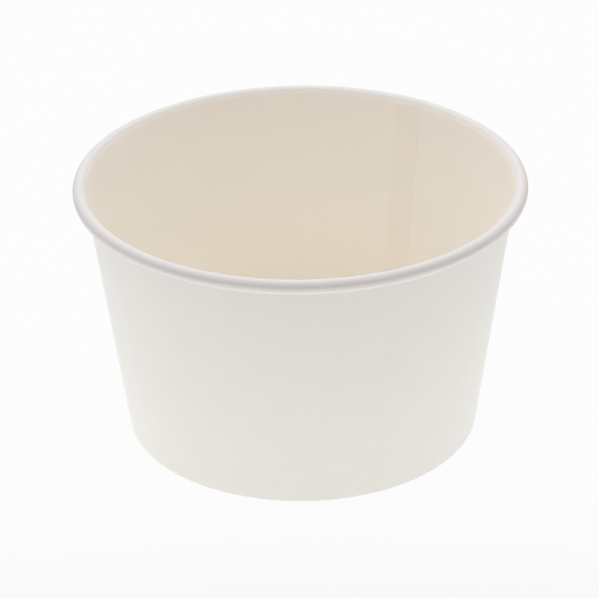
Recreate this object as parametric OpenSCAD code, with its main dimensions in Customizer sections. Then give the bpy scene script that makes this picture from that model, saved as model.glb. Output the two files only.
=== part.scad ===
// Paper food cup: a cone of coated board with a lap seam, a rolled rim and a folded hem,
// and a bottom disc whose turned-down skirt is held in the hem.
// Millimetres, +Z up. The origin is the centre of the base, on the surface that the cup stands on.

/* [Cup] */
// Outside diameter of the rolled rim
rim_d = 115; // [104:0.5:140]
// Overall height, from the table to the top of the rim
cup_h = 68.2; // [45:0.1:110]
// Outside diameter of the wall where it meets the table
base_d = 90.8; // [76:0.1:100]

/* [Board] */
// Thickness of the side wall's board
wall_t = 0.4; // [0.3:0.02:0.5]
// Thickness of the bottom disc's board
disc_t = 0.4; // [0.3:0.02:0.5]
// Heat-sealed film between two boards that lie on each other
film_t = 0.08; // [0.05:0.01:0.12]

/* [Rolled rim] */
// Diameter of the rolled bead
bead_d = 3.44; // [3:0.02:4.4]
// Gap between the tucked end of the roll and the wall
tuck_gap = 0.25; // [0.15:0.05:0.35]
// How far the tucked end turns back up inside the bead, in degrees
tuck_turn = 125; // [60:5:150]

/* [Base] */
// Height of the underside of the bottom disc above the table
recess_h = 8; // [6:0.5:14]
// Inside radius of the bend between the disc and its skirt
bend_r = 0.6; // [0.3:0.05:1]
// Gap between the hem's raw edge and the start of that bend
hem_gap = 0.4; // [0.3:0.05:1]
// Depth to which the fold is pressed flat where the cup stands
press_depth = 0.1; // [0.05:0.01:0.15]

/* [Lap seam] */
// Direction of the inner raw edge, in degrees from +X towards +Y
seam_at = 53.4; // [0:0.1:360]
// Angle over which the two ends of the blank lie on each other, in degrees
lap_angle = 8; // [5:0.5:12]
// Width over which the outer end comes down to the wall beside the inner raw edge
ramp_w = 2.8; // [2:0.1:4]
// Width of the groove beside the inner raw edge
groove_w = 2; // [1:0.1:2.5]
// Depth of that groove
groove_d = 0.25; // [0.1:0.01:0.28]
// Step in the outer face where the inner raw edge shows through the outer end
ghost_step = 0.04; // [0.02:0.01:0.08]
// How much thicker the second board makes the bead over the lap
lap_swell = 0.12; // [0.06:0.02:0.2]

/* [Hidden] */

// Facets of the preview only
$fn = 48;
turn_fn = 144;

outside_colour = [0.93, 0.92, 0.9];
disc_colour = [0.88, 0.84, 0.77];

// The wall's outer face is a straight line from the foot of the base up to the bead, which lies
// on it: the bead's outer turn starts as the wall's own board.
base_r = base_d / 2;
bead_r = bead_d / 2;
bead_x = rim_d / 2 - bead_r;
bead_z = cup_h - bead_r;
bead_reach = norm([bead_x - base_r, bead_z]);
lean = atan2(bead_x - base_r, bead_z) - asin((bead_r - wall_t) / bead_reach);
slope_len = sqrt(bead_reach ^ 2 - (bead_r - wall_t) ^ 2);

// The fold holds the skirt between the wall and the hem, with a film on each side of it, and the
// hem ends below the bend at the skirt's top
fold_w = 2 * wall_t + disc_t + 2 * film_t;
fold_r = fold_w / 2;
fold_y = (fold_r - press_depth - fold_r * sin(lean)) / cos(lean);
hem_h = recess_h - bend_r - hem_gap;
hem_len = hem_h / cos(lean) - fold_y;

// The disc's bend: its centre lies one outer bend radius in from the skirt's outer face
bend_outer = bend_r + disc_t;
skirt_x = -wall_t - film_t;
bend_z = recess_h - bend_r;
bend_y = (bend_z + (skirt_x - bend_outer) * sin(lean)) / cos(lean);
bend_x = wall_point(skirt_x - bend_outer, bend_y).x;

// How far up the bead's inner side the second board is felt, in degrees
swell_end = 120;
// How far inside the lap the inner raw edge lies
edge_inset = 0.25;

// The place on the wall's section of a point x outward from its outer face and y up its slope
function wall_point(x, y) =
    [base_r + x * cos(lean) + y * sin(lean), y * cos(lean) - x * sin(lean)];

// Evenly spaced points along an arc
function arc(centre, r, from, to, steps = 12) = [
    for (i = [0 : steps])
        let (a = from + (to - from) * i / steps)
            centre + r * [cos(a), sin(a)]
];

// Moves a section drawn upright beside x = 0 on to the wall: x = 0 becomes its outer face
module on_wall() {
    translate([base_r, 0]) rotate(-lean) children();
}

// Moves a solid drawn upright on x = 0 on to the wall's outer face at the inner raw edge
module at_raw_edge() {
    rotate(seam_at) translate([base_r, 0, 0]) rotate([0, lean, 0])
        translate([0, edge_inset, 0]) children();
}

// A strip of board bent to an arc about the origin, between two angles
module bent_strip(outer_r, thickness, from, to) {
    intersection() {
        difference() {
            circle(r = outer_r);
            circle(r = outer_r - thickness);
        }
        polygon(concat([[0, 0]], arc([0, 0], 2 * outer_r, from, to)));
    }
}

// The rolled rim about its own centre: over the top and round, then tucked up inside itself
module rolled_rim() {
    tuck_r = bead_r - wall_t - tuck_gap;
    bent_strip(bead_r, wall_t, -90, 180);
    translate([0, tuck_r - bead_r]) bent_strip(tuck_r, wall_t, -90 - tuck_turn, -90);
}

// Section of the side wall. extra is the thickness of the second board, which is 0 off the lap.
module wall_section(extra) {
    intersection() {
        on_wall() {
            translate([-wall_t, fold_y]) square([wall_t + extra, slope_len - fold_y]);
            translate([bead_r - wall_t, slope_len]) rolled_rim();
            translate([-fold_r, fold_y]) bent_strip(fold_r + extra, wall_t + extra, 180, 360);
            translate([-fold_w - extra, fold_y]) square([wall_t + extra, hem_len]);
        }
        square([rim_d, 2 * cup_h]);
    }
}

// Section of the side wall over the lap: two boards, pressed together in the bead
module lap_section() {
    wall_section(wall_t);
    on_wall() translate([bead_r - wall_t, slope_len])
        bent_strip(bead_r + lap_swell, wall_t / 2 + lap_swell, -90, swell_end);
}

// A thin triangle beside the raw edge: it is rise high there, and level with the round wall
// width away. It reaches under the wall's face by half a board.
module edge_wedge(rise, width) {
    under = wall_t / 2;
    sag = width ^ 2 / base_d;
    foot = width * (rise + under) / (rise + sag);
    polygon([[-under, 0], [rise, 0], [-under, -foot]]);
}

// The outer end of the blank coming down from the lap to the wall
module lap_ramp() {
    at_raw_edge() translate([0, 0, fold_y]) linear_extrude(slope_len - bead_r - fold_y)
        edge_wedge(wall_t - ghost_step, ramp_w);
}

// The shallow groove inside, where the inner end of the blank stops short of the ramp
module raw_edge_groove() {
    groove_z = recess_h + bend_outer;
    at_raw_edge() translate([-wall_t, 0, groove_z]) linear_extrude(slope_len + bead_r - groove_z)
        edge_wedge(groove_d, groove_w);
}

// The blank, rolled to a cone: one board all the way round and two over the lap
module side_wall() {
    color(outside_colour)
    difference() {
        union() {
            rotate_extrude(angle = 360 - lap_angle, start = seam_at + lap_angle, $fn = turn_fn)
                wall_section(0);
            rotate_extrude(angle = lap_angle, start = seam_at, $fn = turn_fn)
                lap_section();
            lap_ramp();
        }
        raw_edge_groove();
    }
}

// The disc and its skirt, drawn from one board
module bottom_disc() {
    bend = [bend_x, bend_z];
    color(disc_colour)
    rotate_extrude($fn = turn_fn)
        polygon(concat(
            [[0, recess_h], [0, recess_h + disc_t]],
            arc(bend, bend_outer, 90, -lean),
            [wall_point(skirt_x, fold_y), wall_point(skirt_x - disc_t, fold_y)],
            arc(bend, bend_r, -lean, 90)
        ));
}

side_wall();
bottom_disc();
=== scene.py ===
import math
import bmesh
import bpy
import numpy as np
from mathutils import Matrix, Vector


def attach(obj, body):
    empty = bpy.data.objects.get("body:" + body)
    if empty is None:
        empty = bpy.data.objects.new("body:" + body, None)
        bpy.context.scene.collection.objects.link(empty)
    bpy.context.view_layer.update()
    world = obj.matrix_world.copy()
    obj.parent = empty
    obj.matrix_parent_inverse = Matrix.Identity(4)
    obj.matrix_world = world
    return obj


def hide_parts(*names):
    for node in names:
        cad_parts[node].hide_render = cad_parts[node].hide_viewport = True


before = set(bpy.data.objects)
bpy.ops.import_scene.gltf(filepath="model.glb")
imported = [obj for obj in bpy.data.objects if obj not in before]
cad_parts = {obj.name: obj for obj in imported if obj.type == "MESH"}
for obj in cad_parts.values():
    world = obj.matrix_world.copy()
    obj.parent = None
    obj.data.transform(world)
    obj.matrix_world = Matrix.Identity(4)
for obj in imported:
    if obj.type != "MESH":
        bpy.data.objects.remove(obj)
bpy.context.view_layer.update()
print("frame loaded")

# The cup's own sizes in millimetres and degrees, the same as in the solids
cup = {
    "rimDiameter": 115.0,
    "height": 68.2,
    "baseDiameter": 90.8,
    "board": 0.4,
    "film": 0.08,
    "bead": 3.44,
    "tuckGap": 0.25,
    "tuckTurn": 125.0,
    "discHeight": 8.0,
    "bendRadius": 0.6,
    "hemGap": 0.4,
    "pressDepth": 0.1,
    "seamAt": 53.4,  # inner raw edge, from +X towards +Y
    "lap": 8.0,      # over which the two ends of the blank lie on each other
}
mm = 0.001  # the scene is in metres
board = cup["board"]
baseR = cup["baseDiameter"] / 2
beadR = cup["bead"] / 2
tuckR = beadR - board - cup["tuckGap"]

# The wall is a straight slope that the bead sits on, as in the solids
beadX = cup["rimDiameter"] / 2 - beadR
beadZ = cup["height"] - beadR
beadReach = math.hypot(beadX - baseR, beadZ)
lean = math.atan2(beadX - baseR, beadZ) - math.asin((beadR - board) / beadReach)
slopeLength = math.sqrt(beadReach ** 2 - (beadR - board) ** 2)
foldWidth = 3 * board + 2 * cup["film"]
foldR = foldWidth / 2
foldY = (foldR - cup["pressDepth"] - foldR * math.sin(lean)) / math.cos(lean)
hemLength = (cup["discHeight"] - cup["bendRadius"] - cup["hemGap"]) / math.cos(lean) - foldY

# Degrees round the bead: from the wall's inside, over the top, to where the tucked end starts
beadFrom, beadTo = 180, -90
beadSweep = beadFrom - beadTo


def onCup(x, y):
    # x outward from the wall's outer face, y up its slope: gives radius and height
    return (baseR + x * math.cos(lean) + y * math.sin(lean),
            y * math.cos(lean) - x * math.sin(lean))


def easeBetween(value, start, end):
    t = np.clip((value - start) / (end - start), 0, 1)
    return t * t * (3 - 2 * t)


def smoothShade(obj, sharpAngle=40):
    obj.data.polygons.foreach_set("use_smooth", [True] * len(obj.data.polygons))
    obj.data.set_sharp_from_angle(angle=math.radians(sharpAngle))


def makeObject(name, points, faces, slots, materials):
    mesh = bpy.data.meshes.new(name)
    mesh.from_pydata(points, [], faces)
    for material in materials:
        mesh.materials.append(material)
    mesh.polygons.foreach_set("material_index", slots)
    turned = bmesh.new()
    turned.from_mesh(mesh)
    bmesh.ops.recalc_face_normals(turned, faces=turned.faces)
    turned.to_mesh(mesh)
    turned.free()
    mesh.update()
    obj = bpy.data.objects.new(name, mesh)
    bpy.context.scene.collection.objects.link(obj)
    return obj


def addNode(tree, kind, place=(0, 0), **settings):
    node = tree.nodes.new(kind)
    node.location = place
    for key, value in settings.items():
        setattr(node, key, value)
    return node


def mathNode(tree, operation, a, b=None):
    node = addNode(tree, "ShaderNodeMath", operation=operation)
    for socket, value in zip(node.inputs, (a, b)):
        if value is None:
            continue
        if isinstance(value, bpy.types.NodeSocket):
            tree.links.new(value, socket)
        else:
            socket.default_value = value
    return node.outputs[0]


def rangeNode(tree, value, start, end, low=0.0, high=1.0, curve="SMOOTHSTEP"):
    # Goes from low to high while the value goes from start to end, and stays there outside
    node = addNode(tree, "ShaderNodeMapRange", interpolation_type=curve)
    node.inputs["From Min"].default_value = start
    node.inputs["From Max"].default_value = end
    node.inputs["To Min"].default_value = low
    node.inputs["To Max"].default_value = high
    tree.links.new(value, node.inputs["Value"])
    return node.outputs[0]


def noiseNode(tree, coordinates, scale, detail, roughness=0.5, stretch=None):
    if stretch:
        mapping = addNode(tree, "ShaderNodeMapping")
        mapping.inputs["Scale"].default_value = stretch
        tree.links.new(coordinates, mapping.inputs["Vector"])
        coordinates = mapping.outputs["Vector"]
    noise = addNode(tree, "ShaderNodeTexNoise")
    noise.inputs["Detail"].default_value = detail
    noise.inputs["Roughness"].default_value = roughness
    tree.links.new(scale, noise.inputs["Scale"])
    tree.links.new(coordinates, noise.inputs["Vector"])
    return noise.outputs["Fac"]


def placeParts(tree):
    # The point on the cup as separate X, Y and Z, in metres
    split = addNode(tree, "ShaderNodeSeparateXYZ")
    tree.links.new(addNode(tree, "ShaderNodeTexCoord").outputs["Object"], split.inputs[0])
    return split.outputs


def newGroup(name, inputs, outputs):
    group = bpy.data.node_groups.new(name, "ShaderNodeTree")
    for label, kind, value in inputs:
        socket = group.interface.new_socket(label, in_out="INPUT", socket_type="NodeSocket" + kind)
        socket.default_value = value
    for label, kind in outputs:
        group.interface.new_socket(label, in_out="OUTPUT", socket_type="NodeSocket" + kind)
    given = addNode(group, "NodeGroupInput", (-1200, 0))
    made = addNode(group, "NodeGroupOutput", (600, 0))
    return group, given, made


# Paper has soft clouds of denser and thinner pulp, and fibres on its face
pulp = {
    "alongStretch": (1, 1, 0.22),      # fibres that lie up the wall
    "acrossStretch": (0.3, 0.3, 1.3),  # and those that lie round it
    "cloudMiddle": 0.5,
    "fibreMiddle": 0.56,
    "cloudRelief": 0.35,
    "fibreRelief": 0.65,
    "ior": 1.47,
    "fuzzRoughness": 0.4,
}


def makePulpGroup():
    group, given, made = newGroup(
        "paperPulp",
        [("Colour", "Color", (0.9, 0.9, 0.88, 1)),
         ("Cloud Tone", "Float", 0.02), ("Cloud Size", "Float", 120.0),
         ("Fibre Tone", "Float", 0.015), ("Fibre Size", "Float", 1500.0),
         ("Roughness", "Float", 0.7), ("Roughness Spread", "Float", 0.08)],
        [("Colour", "Color"), ("Roughness", "Float"), ("Height", "Float")])
    where = addNode(group, "ShaderNodeTexCoord", (-1200, -300)).outputs["Object"]
    fibreSize = given.outputs["Fibre Size"]
    clouds = noiseNode(group, where, given.outputs["Cloud Size"], 3, 0.55)
    along = noiseNode(group, where, fibreSize, 2, 0.5, pulp["alongStretch"])
    across = noiseNode(group, where, fibreSize, 2, 0.5, pulp["acrossStretch"])
    fibres = mathNode(group, "MAXIMUM", along, across)
    cloudiness = mathNode(group, "SUBTRACT", clouds, pulp["cloudMiddle"])
    fibreness = mathNode(group, "SUBTRACT", fibres, pulp["fibreMiddle"])

    cloudTone = mathNode(group, "MULTIPLY", cloudiness, given.outputs["Cloud Tone"])
    fibreTone = mathNode(group, "MULTIPLY", fibreness, given.outputs["Fibre Tone"])
    tone = mathNode(group, "ADD", mathNode(group, "ADD", cloudTone, fibreTone), 1.0)
    shaded = addNode(group, "ShaderNodeVectorMath", operation="SCALE")
    group.links.new(given.outputs["Colour"], shaded.inputs[0])
    group.links.new(tone, shaded.inputs["Scale"])
    group.links.new(shaded.outputs[0], made.inputs["Colour"])

    spread = mathNode(group, "MULTIPLY", fibreness, given.outputs["Roughness Spread"])
    roughness = mathNode(group, "ADD", given.outputs["Roughness"], spread)
    group.links.new(roughness, made.inputs["Roughness"])
    height = mathNode(group, "ADD", mathNode(group, "MULTIPLY", fibres, pulp["fibreRelief"]),
                      mathNode(group, "MULTIPLY", clouds, pulp["cloudRelief"]))
    group.links.new(height, made.inputs["Height"])
    return group


pulpGroup = makePulpGroup()

# Sizes are in noise cells a metre, and the bump is in metres
wallLooks = {
    "outside": {"colour": (0.825, 0.798, 0.745), "cloudTone": 0.03, "cloudSize": 110,
                "fibreTone": 0.03, "fibreSize": 1300, "roughness": 0.52, "spread": 0.1,
                "bump": 0.00006, "fuzz": 0.15},
    "inside": {"colour": (0.936, 0.886, 0.805), "cloudTone": 0.012, "cloudSize": 90,
               "fibreTone": 0.006, "fibreSize": 900, "roughness": 0.46, "spread": 0.08,
               "bump": 0.00003},
    "rim": {"cloudTone": 0.012, "cloudSize": 90,  # its colours are the bead's coating with painted highlight and shade
            "fibreTone": 0.006, "fibreSize": 900, "roughness": 0.55, "spread": 0.08,
            "bump": 0.00002, "shine": 0.3},
    "rawEdge": {"colour": (0.82, 0.79, 0.73), "cloudTone": 0.03, "cloudSize": 300,
                "fibreTone": 0.1, "fibreSize": 4000, "roughness": 0.85, "spread": 0.05,
                "bump": 0.00008},
}


def makePaper(name, look, toneAcross=None):
    material = bpy.data.materials.new(name)
    material.use_nodes = True
    tree = material.node_tree
    shader = tree.nodes["Principled BSDF"]
    shader.inputs["IOR"].default_value = pulp["ior"]
    shader.inputs["Specular IOR Level"].default_value = look.get("shine", 0.5)
    shader.inputs["Sheen Weight"].default_value = look.get("fuzz", 0)
    shader.inputs["Sheen Roughness"].default_value = pulp["fuzzRoughness"]
    sheet = addNode(tree, "ShaderNodeGroup", (-500, 0), node_tree=pulpGroup)
    if toneAcross:
        tree.links.new(toneAcross(tree), sheet.inputs["Colour"])
    else:
        sheet.inputs["Colour"].default_value = (*look["colour"], 1)
    for label, key in (("Cloud Tone", "cloudTone"), ("Cloud Size", "cloudSize"),
                       ("Fibre Tone", "fibreTone"), ("Fibre Size", "fibreSize"),
                       ("Roughness", "roughness"), ("Roughness Spread", "spread")):
        sheet.inputs[label].default_value = look[key]
    bump = addNode(tree, "ShaderNodeBump", (-250, -300))
    bump.inputs["Distance"].default_value = look["bump"]
    bump.inputs["Strength"].default_value = 1.0
    tree.links.new(sheet.outputs["Height"], bump.inputs["Height"])
    tree.links.new(bump.outputs["Normal"], shader.inputs["Normal"])
    tree.links.new(sheet.outputs["Roughness"], shader.inputs["Roughness"])
    tree.links.new(sheet.outputs["Colour"], shader.inputs["Base Color"])
    return material


# Degrees round the bead, and the colour there: the rim's coating, a little greyer than the wall,
# with a painted highlight where it is bent under, painted shade in a cooler grey on its outer
# middle, then the inside's cream
beadLightAndShadeStops = [
    (-80, (0.92, 0.9, 0.87)),
    (-8, (0.81, 0.765, 0.735)),
    (26, (0.655, 0.615, 0.585)),
    (57, (0.7, 0.66, 0.63)),
    (95, (0.74, 0.705, 0.69)),
    (130, (0.75, 0.715, 0.69)),
    (160, wallLooks["inside"]["colour"]),
]


# Paints the bead's coating with a highlight under it and shade on its outer middle, by the turn
# round the bead
def paintBeadLightAndShade(tree):
    place = placeParts(tree)
    squares = [mathNode(tree, "POWER", place[axis], 2.0) for axis in ("X", "Y")]
    radius = mathNode(tree, "SQRT", mathNode(tree, "ADD", *squares))
    outward = mathNode(tree, "SUBTRACT", radius, beadX * mm)
    upward = mathNode(tree, "SUBTRACT", place["Z"], beadZ * mm)
    turn = mathNode(tree, "ARCTAN2", upward, outward)
    ramp = addNode(tree, "ShaderNodeValToRGB")
    ramp.color_ramp.interpolation = "EASE"
    stops = ramp.color_ramp.elements
    for i, (degrees, colour) in enumerate(beadLightAndShadeStops):
        share = (degrees - beadTo) / beadSweep
        stop = stops[i] if i < 2 else stops.new(share)  # a new ramp has two stops
        stop.position = share
        stop.color = (*colour, 1)
    share = rangeNode(tree, turn, math.radians(beadTo), math.radians(beadFrom), curve="LINEAR")
    tree.links.new(share, ramp.inputs["Fac"])
    return ramp.outputs["Color"]


# Painted shade: the second board behind the lap lets less light through, so the inside is painted
# a slightly darker, warmer band there, crisp at the inner raw edge and soft on its other side
# (half widths in degrees)
lapShadeBand = {"shadeTint": (0.983, 0.965, 0.957), "crispEdge": 0.12, "softEdge": 1.2}


# Paints the lap's shade into the inside's colour
def paintLapShade(tree):
    place = placeParts(tree)
    turn = mathNode(tree, "ARCTAN2", place["Y"], place["X"])
    start, end = cup["seamAt"], cup["seamAt"] + cup["lap"]
    crisp, soft = lapShadeBand["crispEdge"], lapShadeBand["softEdge"]
    begins = rangeNode(tree, turn, math.radians(start - crisp), math.radians(start + crisp))
    ends = rangeNode(tree, turn, math.radians(end - soft), math.radians(end + soft), 1, 0)
    mix = addNode(tree, "ShaderNodeMix", data_type="RGBA", blend_type="MULTIPLY")
    tree.links.new(mathNode(tree, "MULTIPLY", begins, ends), mix.inputs["Factor"])
    mix.inputs["A"].default_value = (*wallLooks["inside"]["colour"], 1)
    mix.inputs["B"].default_value = (*lapShadeBand["shadeTint"], 1)
    return mix.outputs["Result"]


rawEdge = makePaper("raw_edge", wallLooks["rawEdge"])
wallMaterials = [
    makePaper("paper_outside", wallLooks["outside"]),
    makePaper("coated_inside", wallLooks["inside"], paintLapShade),
    makePaper("rolled_rim", wallLooks["rim"], paintBeadLightAndShade),
    rawEdge,
]
print("paper materials made")


# The side wall is one blank of board, from the hem's raw edge up to the tucked end of the rim.
# Depths are in millimetres, and widths round the cup in degrees.
wall = {
    "columnStep": 1.25,         # degrees between columns of points, away from the lap
    "hemRows": 5, "foldRows": 14, "slopeRows": 30, "beadRows": 40, "tuckRows": 14,
    "skivedEdge": 0.06,         # thickness that the inner raw edge is pressed to
    "skiveWidth": 2.4,          # from that edge to the full board
    "grooveWidth": 3.9,         # over which the outer end rises beside it
    "sealGap": 0.004,           # between the two ends
    "pressedEdge": 0.34,        # thickness of the outer raw edge
    "pressedWidth": 1.0,        # from that edge to the full board
    "settleWidth": 2.2,         # past the outer raw edge, where the tucked end comes back in
    "beadSwell": 0.08,          # how far the bead stands out over the lap
    "beadPress": 0.3,           # share that the boards lose in it
    "swellStart": (-3.4, 0.6),  # from the inner raw edge: where the swell begins and is full
    "swellEnd": (-0.4, 2.6),    # from the outer raw edge: where it starts to go and is gone
    "swellTurn": 60,            # degrees round the bead over which it builds up
    "tuckClear": 0.05,          # between the tucked end and the wall, at the least
}


def blankColumns():
    # Degrees round the cup from the blank's inner end, closer together near both raw edges
    lap = cup["lap"]
    end = 360 + lap
    runs = [(0, 3, 0.25), (3, lap - 0.5, 0.9), (lap - 0.5, lap + 3, 0.4),  # start, end, step
            (lap + 3, 355, wall["columnStep"]), (355, 360, 0.3), (360, 363, 0.3),
            (363, end - 1.2, 0.9)]
    turns = [np.arange(*run) for run in runs] + [np.linspace(end - 1.2, end, 6)]
    return np.unique(np.round(np.concatenate(turns), 4))


def faceDepths(turn):
    # Depths of the blank's coated face and of its plain face, outward from the cup's inside
    skived = wall["skivedEdge"]
    end = 360 + cup["lap"]
    toEdge = np.clip((turn - 360 + wall["grooveWidth"]) / wall["grooveWidth"], 0, 1) ** 2
    coated = (skived + wall["sealGap"]) * toEdge
    coated = coated + (board - skived) * easeBetween(turn, 360, 360 + wall["skiveWidth"])
    innerEnd = skived + (board - skived) * easeBetween(turn, 0, wall["skiveWidth"])
    pressed = (board - wall["pressedEdge"]) * easeBetween(turn, end - wall["pressedWidth"], end)
    plain = np.where(turn < 180, innerEnd, coated + board - pressed)
    return coated, plain


def stackDepth(around):
    # Depth of the outermost face, at this many degrees past the inner raw edge
    lap = cup["lap"]
    if around <= lap:
        return float(faceDepths(around + 360)[1])
    if around >= 180:
        return float(faceDepths(around)[1])
    step = faceDepths(360.0 + lap)[1] - board
    return float(board + step * (1 - easeBetween(around, lap, lap + wall["settleWidth"])))


def blankFace(turn, depth):
    # Radius and height of one face of the blank, from the hem's raw edge to the tucked end
    around = turn % 360
    signed = around - 360 if around > 180 else around
    comes = easeBetween(signed, *wall["swellStart"])
    goes = easeBetween(signed, *(cup["lap"] + past for past in wall["swellEnd"]))
    overLap = float(comes * (1 - goes))
    stack = stackDepth(around)
    points = []
    for y in np.linspace(foldY + hemLength, foldY, wall["hemRows"], endpoint=False):
        points.append(onCup(-foldWidth + board - depth, y))
    for angle in np.radians(np.linspace(-180, 0, wall["foldRows"], endpoint=False)):
        r = foldR - board + depth
        points.append(onCup(-foldR + r * math.cos(angle), foldY + r * math.sin(angle)))
    for y in np.linspace(foldY, slopeLength, wall["slopeRows"], endpoint=False):
        points.append(onCup(-board + depth, y))
    for angle in np.linspace(beadFrom, beadTo, wall["beadRows"], endpoint=False):
        share = overLap * float(easeBetween(beadFrom - angle, 0, wall["swellTurn"]))
        r = beadR - depth * (1 - wall["beadPress"] * share) + wall["beadSwell"] * share
        points.append(onCup(beadR - board + r * math.cos(math.radians(angle)),
                            slopeLength + r * math.sin(math.radians(angle))))
    inBead = depth * (1 - wall["beadPress"] * overLap) - wall["beadSwell"] * overLap
    nearest = stack - board + wall["tuckClear"] + inBead + wall["beadSwell"]
    for angle in np.radians(np.linspace(beadTo, beadTo - cup["tuckTurn"], wall["tuckRows"])):
        r = tuckR - inBead
        x = max(beadR - board + r * math.cos(angle), nearest)
        points.append(onCup(x, slopeLength + tuckR - beadR + r * math.sin(angle)))
    # The boards are pressed flat where the cup stands
    lowest = (board - cup["pressDepth"]) * (1 - depth / stack)
    return [(r, max(z, lowest)) for r, z in points]


def makeWall():
    outsideSlot, insideSlot, rimSlot, edgeSlot = range(4)
    turns = blankColumns()
    points = []
    for depths in faceDepths(turns):
        for turn, depth in zip(turns, depths):
            angle = math.radians(cup["seamAt"] + turn)
            for r, z in blankFace(float(turn), float(depth)):
                points.append((r * math.cos(angle) * mm, r * math.sin(angle) * mm, z * mm))
    columns = len(turns)
    rows = len(points) // (2 * columns)
    rimRow = wall["hemRows"] + wall["foldRows"] + wall["slopeRows"]

    def at(face, column, row):
        return (face * columns + column) * rows + row

    faces, slots = [], []
    for column in range(columns - 1):
        for row in range(rows - 1):
            for face in (0, 1):  # coated, then plain
                faces.append((at(face, column, row), at(face, column + 1, row),
                              at(face, column + 1, row + 1), at(face, column, row + 1)))
                coatedSlot = rimSlot if row >= rimRow else insideSlot
                slots.append(outsideSlot if face else coatedSlot)
        for row in (0, rows - 1):
            faces.append((at(0, column, row), at(0, column + 1, row),
                          at(1, column + 1, row), at(1, column, row)))
            slots.append(edgeSlot)
    for column in (0, columns - 1):
        for row in range(rows - 1):
            faces.append((at(0, column, row), at(0, column, row + 1),
                          at(1, column, row + 1), at(1, column, row)))
            slots.append(edgeSlot if column else insideSlot)  # the inner raw edge is coated
    return makeObject("side_wall_board", points, faces, slots, wallMaterials)


sideWall = makeWall()
smoothShade(sideWall)
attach(sideWall, "root")
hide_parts("side_wall")
print("side wall made:", len(sideWall.data.polygons), "faces")


# The bottom disc is one board with its edge turned down into the skirt that the hem holds
disc = {
    "columns": 180, "flatRings": 14, "bendRings": 10, "skirtRings": 8,
    # The top's coating is painted a little darker than the wall's inside, as shade against the
    # light from above
    "top": {"colour": (0.865, 0.815, 0.735), "cloudTone": 0.014, "cloudSize": 90,
            "fibreTone": 0.008, "fibreSize": 900, "roughness": 0.46, "spread": 0.08,
            "bump": 0.00003},
    "underside": {"colour": (0.85, 0.82, 0.76), "cloudTone": 0.035, "cloudSize": 110,
                  "fibreTone": 0.035, "fibreSize": 1300, "roughness": 0.78, "spread": 0.1,
                  "bump": 0.00006},
}


def discProfile(bend, height):
    # Radius and height of one face, from near the centre out, round the bend, down the skirt
    bendOuter = cup["bendRadius"] + board
    bendInset = -board - cup["film"] - bendOuter
    bendZ = cup["discHeight"] - cup["bendRadius"]
    bendY = (bendZ + bendInset * math.sin(lean)) / math.cos(lean)
    bendX = onCup(bendInset, bendY)[0]
    flatRings = disc["flatRings"]
    points = [(bendX * i / flatRings, height) for i in range(1, flatRings)]
    for angle in np.linspace(math.pi / 2, -lean, disc["bendRings"]):
        points.append((bendX + bend * math.cos(angle), bendZ + bend * math.sin(angle)))
    for y in np.linspace(bendY, foldY, disc["skirtRings"])[1:]:
        points.append(onCup(bendInset + bend, y))
    return points


def makeDisc():
    edgeSlot = 2
    columns = disc["columns"]
    top = discProfile(cup["bendRadius"] + board, cup["discHeight"] + board)
    under = discProfile(cup["bendRadius"], cup["discHeight"])
    rings = len(top)
    points = [(0, 0, top[0][1] * mm), (0, 0, under[0][1] * mm)]
    for profile in (top, under):
        for r, z in profile:
            for column in range(columns):
                angle = 2 * math.pi * column / columns
                points.append((r * math.cos(angle) * mm, r * math.sin(angle) * mm, z * mm))

    def at(face, ring, column):
        return 2 + (face * rings + ring) * columns + column % columns

    faces, slots = [], []
    for column in range(columns):
        for face in (0, 1):  # top, then underside
            faces.append((face, at(face, 0, column), at(face, 0, column + 1)))
            slots.append(face)
            for ring in range(rings - 1):
                faces.append((at(face, ring, column), at(face, ring, column + 1),
                              at(face, ring + 1, column + 1), at(face, ring + 1, column)))
                slots.append(face)
        faces.append((at(0, rings - 1, column), at(0, rings - 1, column + 1),
                      at(1, rings - 1, column + 1), at(1, rings - 1, column)))
        slots.append(edgeSlot)
    materials = [makePaper("coated_disc_painted_shade", disc["top"]),
                 makePaper("plain_underside", disc["underside"]), rawEdge]
    return makeObject("bottom_disc_board", points, faces, slots, materials)


bottomDisc = makeDisc()
smoothShade(bottomDisc)
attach(bottomDisc, "root")
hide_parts("bottom_disc")
print("bottom disc made:", len(bottomDisc.data.polygons), "faces")


# The floor and the surroundings, in metres
studio = {
    "floorSize": 3.0,
    "floorColour": (0.5, 0.5, 0.497),
    "floorGlow": 0.95,                # share of plain white that the camera sees in the floor
    "floorNearGrey": 0.925,           # how white that is towards the front
    "floorGreyBand": (-0.14, -0.04),  # Y where it starts to whiten and where it is white
    "floorLight": 0.78,               # light that the cup gets from the floor under it
    "floorFar": 0.19,                 # and from the floor further away
    "floorFade": (0.06, 0.35),        # distances from the cup's axis between which it fades
    # Each light is a soft patch of the surroundings. It fades in as the direction turns towards
    # it: from and to are cosines of the angle between them.
    "lights": {
        "above": {"towards": (0, 0, 1), "from": 0.5, "to": 0.97, "light": (0.45, 0.45, 0.45)},
        "aboveBehind": {"towards": (0, 0.6, 1), "from": 0.7, "to": 0.97,
                        "light": (1.8, 1.8, 1.8)},
        "left": {"towards": (-1, 0.1, 0.3), "from": 0.4, "to": 0.95,
                 "light": (0.76, 0.79, 0.84)},
        "right": {"towards": (1, 0.1, 0.3), "from": 0.4, "to": 0.95,
                  "light": (0.61, 0.63, 0.67)},
        "frontHigh": {"towards": (0, -1, 1), "from": 0.5, "to": 0.95,
                      "light": (0.59, 0.58, 0.57)},
    },
}


def seenDirectly(tree):
    # 1 for rays that show a surface itself, plain or mirrored; 0 for the light that it gives
    paths = addNode(tree, "ShaderNodeLightPath").outputs
    seen = mathNode(tree, "MAXIMUM", paths["Is Camera Ray"], paths["Is Glossy Ray"])
    return mathNode(tree, "MAXIMUM", seen, paths["Is Transmission Ray"])


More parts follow.
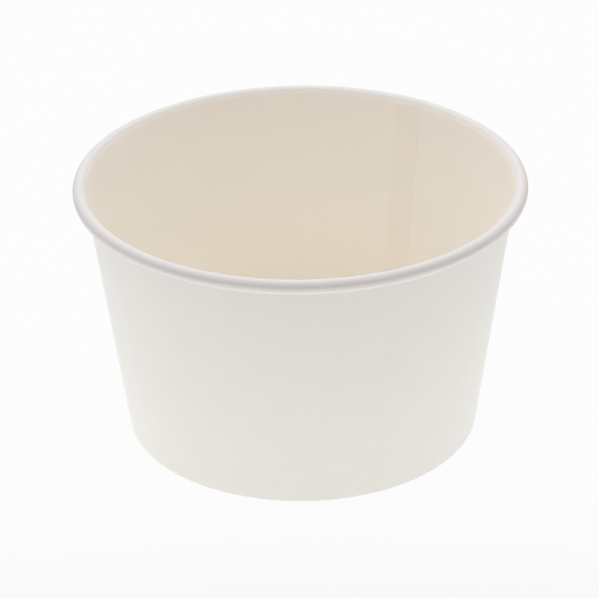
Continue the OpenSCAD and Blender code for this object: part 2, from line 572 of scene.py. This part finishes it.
def makeFloor():
    half = studio["floorSize"] / 2
    corners = [(-half, -half, 0), (half, -half, 0), (half, half, 0), (-half, half, 0)]
    mesh = bpy.data.meshes.new("studio_floor")
    mesh.from_pydata(corners, [], [(0, 1, 2, 3)])
    floor = bpy.data.objects.new("studio_floor", mesh)
    bpy.context.scene.collection.objects.link(floor)
    material = bpy.data.materials.new("white_table")
    material.use_nodes = True
    tree = material.node_tree
    tree.nodes.clear()
    out = addNode(tree, "ShaderNodeOutputMaterial", (600, 0))
    where = addNode(tree, "ShaderNodeTexCoord").outputs["Object"]
    seen = seenDirectly(tree)

    # The table takes the cup's shadow, and lights the cup without looking any brighter itself
    matte = addNode(tree, "ShaderNodeBsdfDiffuse")
    matte.inputs["Color"].default_value = (*studio["floorColour"], 1)
    away = addNode(tree, "ShaderNodeVectorMath", operation="LENGTH")
    tree.links.new(where, away.inputs[0])
    given = rangeNode(tree, away.outputs["Value"], *studio["floorFade"],
                      studio["floorLight"], studio["floorFar"])
    lit = addNode(tree, "ShaderNodeEmission")
    unseen = mathNode(tree, "SUBTRACT", 1.0, seen)
    tree.links.new(mathNode(tree, "MULTIPLY", given, unseen), lit.inputs["Strength"])
    table = addNode(tree, "ShaderNodeAddShader")
    tree.links.new(matte.outputs[0], table.inputs[0])
    tree.links.new(lit.outputs[0], table.inputs[1])

    # What the camera sees is nearly all plain white
    split = addNode(tree, "ShaderNodeSeparateXYZ")
    tree.links.new(where, split.inputs[0])
    whiteness = rangeNode(tree, split.outputs["Y"], *studio["floorGreyBand"],
                          studio["floorNearGrey"])
    glow = addNode(tree, "ShaderNodeEmission")
    tree.links.new(whiteness, glow.inputs["Strength"])
    mix = addNode(tree, "ShaderNodeMixShader")
    tree.links.new(mathNode(tree, "MULTIPLY", seen, studio["floorGlow"]), mix.inputs[0])
    tree.links.new(table.outputs[0], mix.inputs[1])
    tree.links.new(glow.outputs[0], mix.inputs[2])
    tree.links.new(mix.outputs[0], out.inputs["Surface"])
    mesh.materials.append(material)


def makeLight():
    world = bpy.data.worlds.new("studio_light")
    bpy.context.scene.world = world
    world.use_nodes = True
    tree = world.node_tree
    tree.nodes.clear()
    out = addNode(tree, "ShaderNodeOutputWorld", (800, 0))
    where = addNode(tree, "ShaderNodeTexCoord", (-900, 0)).outputs["Generated"]
    total = None
    for name, light in studio["lights"].items():
        facing = addNode(tree, "ShaderNodeVectorMath", operation="DOT_PRODUCT", label=name)
        tree.links.new(where, facing.inputs[0])
        facing.inputs[1].default_value = Vector(light["towards"]).normalized()
        share = rangeNode(tree, facing.outputs["Value"], light["from"], light["to"])
        given = addNode(tree, "ShaderNodeVectorMath", operation="SCALE")
        given.inputs[0].default_value = light["light"]
        tree.links.new(share, given.inputs["Scale"])
        if total is not None:
            both = addNode(tree, "ShaderNodeVectorMath", operation="ADD")
            tree.links.new(total, both.inputs[0])
            tree.links.new(given.outputs[0], both.inputs[1])
            given = both
        total = given.outputs[0]
    lit = addNode(tree, "ShaderNodeBackground")
    tree.links.new(total, lit.inputs["Color"])
    white = addNode(tree, "ShaderNodeBackground")
    white.inputs["Strength"].default_value = 1
    white.inputs["Color"].default_value = (1, 1, 1, 1)
    mix = addNode(tree, "ShaderNodeMixShader")
    tree.links.new(seenDirectly(tree), mix.inputs[0])
    tree.links.new(lit.outputs[0], mix.inputs[1])
    tree.links.new(white.outputs[0], mix.inputs[2])
    tree.links.new(mix.outputs[0], out.inputs["Surface"])


# Millimetres and degrees: the camera looks down on the cup from its front, a little tilted
camera = {
    "lens": 171.77,
    "sensor": 36,
    "distance": 737.5,
    "nearest": 10,
    "aim": (-0.69, 0, 33.08),
    "pitch": 28.428,
    "roll": -0.716,
}


def makeCamera():
    pitch, roll = math.radians(camera["pitch"]), math.radians(camera["roll"])
    back = Vector((0, -math.cos(pitch), math.sin(pitch)))
    level = Vector((1, 0, 0))
    upright = Vector((0, math.sin(pitch), math.cos(pitch)))
    right = math.cos(roll) * level + math.sin(roll) * upright
    up = -math.sin(roll) * level + math.cos(roll) * upright
    data = bpy.data.cameras.new("camera")
    data.lens = camera["lens"]
    data.sensor_width = camera["sensor"]
    data.clip_start = camera["nearest"] * mm
    obj = bpy.data.objects.new("camera", data)
    bpy.context.scene.collection.objects.link(obj)
    place = Matrix((right, up, back)).transposed().to_4x4()
    place.translation = (Vector(camera["aim"]) + back * camera["distance"]) * mm
    obj.matrix_world = place
    bpy.context.scene.camera = obj


makeFloor()
makeLight()
makeCamera()
bpy.context.scene.view_settings.view_transform = "Standard"
print("studio made")
